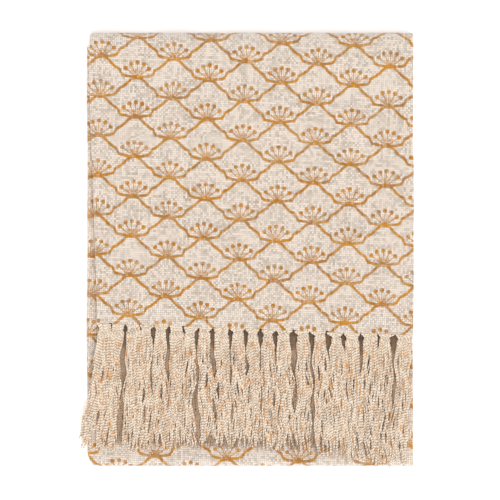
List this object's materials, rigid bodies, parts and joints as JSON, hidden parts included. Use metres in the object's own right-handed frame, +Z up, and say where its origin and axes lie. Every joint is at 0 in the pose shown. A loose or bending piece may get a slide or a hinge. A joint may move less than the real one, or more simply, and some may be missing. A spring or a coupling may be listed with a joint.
{
  "type": "folded throw blanket",
  "caption": "Folded woven throw blanket with scalloped fan print, its fringed ends folded over on top so the knotted tassels lie across the packet.",
  "frame": {"origin": "middle of the folded packet, on the surface it lies on", "axes": "+Z up, X across the packet's width, +Y along its length, from the half fold to the fold-over edge"},
  "size_m": [0.325, 0.43, 0.0277],
  "materials": {
    "printed_cloth": "matte",
    "hem_cloth": "matte",
    "fringe_yarn": "matte",
    "label_satin": "satin"
  },
  "bodies": {
    "base": {"lower_panel": "printed_cloth", "middle_panel": "printed_cloth", "half_fold": "printed_cloth", "inner_turn": "printed_cloth", "outer_turn": "printed_cloth", "lower_hems": "hem_cloth", "middle_hems": "hem_cloth", "care_label": "label_satin"},
    "flap": {"inner_flap": "printed_cloth", "outer_flap": "printed_cloth", "inner_flap_hems": "hem_cloth", "outer_flap_hems": "hem_cloth", "inner_fringe_1": "fringe_yarn", "inner_fringe_2": "fringe_yarn", "inner_fringe_3": "fringe_yarn", "inner_fringe_4": "fringe_yarn", "outer_fringe_2": "fringe_yarn", "outer_fringe_3": "fringe_yarn", "outer_fringe_4": "fringe_yarn"},
    "tassel_01_swing": {"tassel_01": "fringe_yarn"},
    "tassel_02_swing": {"tassel_02": "fringe_yarn"},
    "tassel_03_swing": {"tassel_03": "fringe_yarn"},
    "tassel_04_swing": {"tassel_04": "fringe_yarn"},
    "tassel_05_swing": {"tassel_05": "fringe_yarn"},
    "tassel_06_swing": {"tassel_06": "fringe_yarn"},
    "tassel_07_swing": {"tassel_07": "fringe_yarn"},
    "tassel_08_swing": {"tassel_08": "fringe_yarn"},
    "tassel_09_swing": {"tassel_09": "fringe_yarn"},
    "tassel_10_swing": {"tassel_10": "fringe_yarn"},
    "tassel_11_swing": {"tassel_11": "fringe_yarn"},
    "tassel_12_swing": {"tassel_12": "fringe_yarn"},
    "tassel_13_swing": {"tassel_13": "fringe_yarn"},
    "tassel_14_swing": {"tassel_14": "fringe_yarn"},
    "tassel_15_swing": {"tassel_15": "fringe_yarn"},
    "tassel_16_swing": {"tassel_16": "fringe_yarn"},
    "tassel_17_swing": {"tassel_17": "fringe_yarn"},
    "tassel_18_swing": {"tassel_18": "fringe_yarn"},
    "tassel_19_swing": {"tassel_19": "fringe_yarn"},
    "tassel_20_swing": {"tassel_20": "fringe_yarn"}
  },
  "joints": [
    {"name": "flap_fold", "type": "hinge", "parent": "base", "child": "flap", "pos_m": [0, 0.20117, 0.01383], "axis": [-1, 0, 0], "range_deg": [0, 179.9], "deforming": ["inner_turn", "outer_turn"]},
    {"name": "tassel_01_lift", "type": "hinge", "parent": "flap", "child": "tassel_01_swing", "pos_m": [-0.14301, -0.07554, 0.02765], "axis": [0.9993, -0.0384, 0], "range_deg": [-160, 0]},
    {"name": "tassel_02_lift", "type": "hinge", "parent": "flap", "child": "tassel_02_swing", "pos_m": [-0.12888, -0.07608, 0.02765], "axis": [0.9993, -0.0384, 0], "range_deg": [-160, 0]},
    {"name": "tassel_03_lift", "type": "hinge", "parent": "flap", "child": "tassel_03_swing", "pos_m": [-0.11472, -0.07662, 0.02765], "axis": [0.9993, -0.0384, 0], "range_deg": [-160, 0]},
    {"name": "tassel_04_lift", "type": "hinge", "parent": "flap", "child": "tassel_04_swing", "pos_m": [-0.10047, -0.07717, 0.02765], "axis": [0.9993, -0.0384, 0], "range_deg": [-160, 0]},
    {"name": "tassel_05_lift", "type": "hinge", "parent": "flap", "child": "tassel_05_swing", "pos_m": [-0.08611, -0.07772, 0.02765], "axis": [0.9993, -0.0384, 0], "range_deg": [-160, 0]},
    {"name": "tassel_06_lift", "type": "hinge", "parent": "flap", "child": "tassel_06_swing", "pos_m": [-0.0716, -0.07828, 0.02765], "axis": [0.9993, -0.0384, 0], "range_deg": [-160, 0]},
    {"name": "tassel_07_lift", "type": "hinge", "parent": "flap", "child": "tassel_07_swing", "pos_m": [-0.0569, -0.07884, 0.02765], "axis": [0.9993, -0.0384, 0], "range_deg": [-160, 0]},
    {"name": "tassel_08_lift", "type": "hinge", "parent": "flap", "child": "tassel_08_swing", "pos_m": [-0.042, -0.07942, 0.02765], "axis": [0.9993, -0.0384, 0], "range_deg": [-160, 0]},
    {"name": "tassel_09_lift", "type": "hinge", "parent": "flap", "child": "tassel_09_swing", "pos_m": [-0.02688, -0.08, 0.02765], "axis": [0.9993, -0.0384, 0], "range_deg": [-160, 0]},
    {"name": "tassel_10_lift", "type": "hinge", "parent": "flap", "child": "tassel_10_swing", "pos_m": [-0.01152, -0.08059, 0.02765], "axis": [0.9993, -0.0384, 0], "range_deg": [-160, 0]},
    {"name": "tassel_11_lift", "type": "hinge", "parent": "flap", "child": "tassel_11_swing", "pos_m": [0.00409, -0.08119, 0.02765], "axis": [0.9993, -0.0384, 0], "range_deg": [-160, 0]},
    {"name": "tassel_12_lift", "type": "hinge", "parent": "flap", "child": "tassel_12_swing", "pos_m": [0.01994, -0.0818, 0.02765], "axis": [0.9993, -0.0384, 0], "range_deg": [-160, 0]},
    {"name": "tassel_13_lift", "type": "hinge", "parent": "flap", "child": "tassel_13_swing", "pos_m": [0.03603, -0.08242, 0.02765], "axis": [0.9993, -0.0384, 0], "range_deg": [-160, 0]},
    {"name": "tassel_14_lift", "type": "hinge", "parent": "flap", "child": "tassel_14_swing", "pos_m": [0.05234, -0.08304, 0.02765], "axis": [0.9993, -0.0384, 0], "range_deg": [-160, 0]},
    {"name": "tassel_15_lift", "type": "hinge", "parent": "flap", "child": "tassel_15_swing", "pos_m": [0.06886, -0.08368, 0.02765], "axis": [0.9993, -0.0384, 0], "range_deg": [-160, 0]},
    {"name": "tassel_16_lift", "type": "hinge", "parent": "flap", "child": "tassel_16_swing", "pos_m": [0.08556, -0.08432, 0.02765], "axis": [0.9993, -0.0384, 0], "range_deg": [-160, 0]},
    {"name": "tassel_17_lift", "type": "hinge", "parent": "flap", "child": "tassel_17_swing", "pos_m": [0.10241, -0.08496, 0.02765], "axis": [0.9993, -0.0384, 0], "range_deg": [-160, 0]},
    {"name": "tassel_18_lift", "type": "hinge", "parent": "flap", "child": "tassel_18_swing", "pos_m": [0.11937, -0.08562, 0.02765], "axis": [0.9993, -0.0384, 0], "range_deg": [-160, 0]},
    {"name": "tassel_19_lift", "type": "hinge", "parent": "flap", "child": "tassel_19_swing", "pos_m": [0.13642, -0.08627, 0.02765], "axis": [0.9993, -0.0384, 0], "range_deg": [-160, 0]},
    {"name": "tassel_20_lift", "type": "hinge", "parent": "flap", "child": "tassel_20_swing", "pos_m": [0.15351, -0.08693, 0.02765], "axis": [0.9993, -0.0384, 0], "range_deg": [-160, 0]}
  ]
}
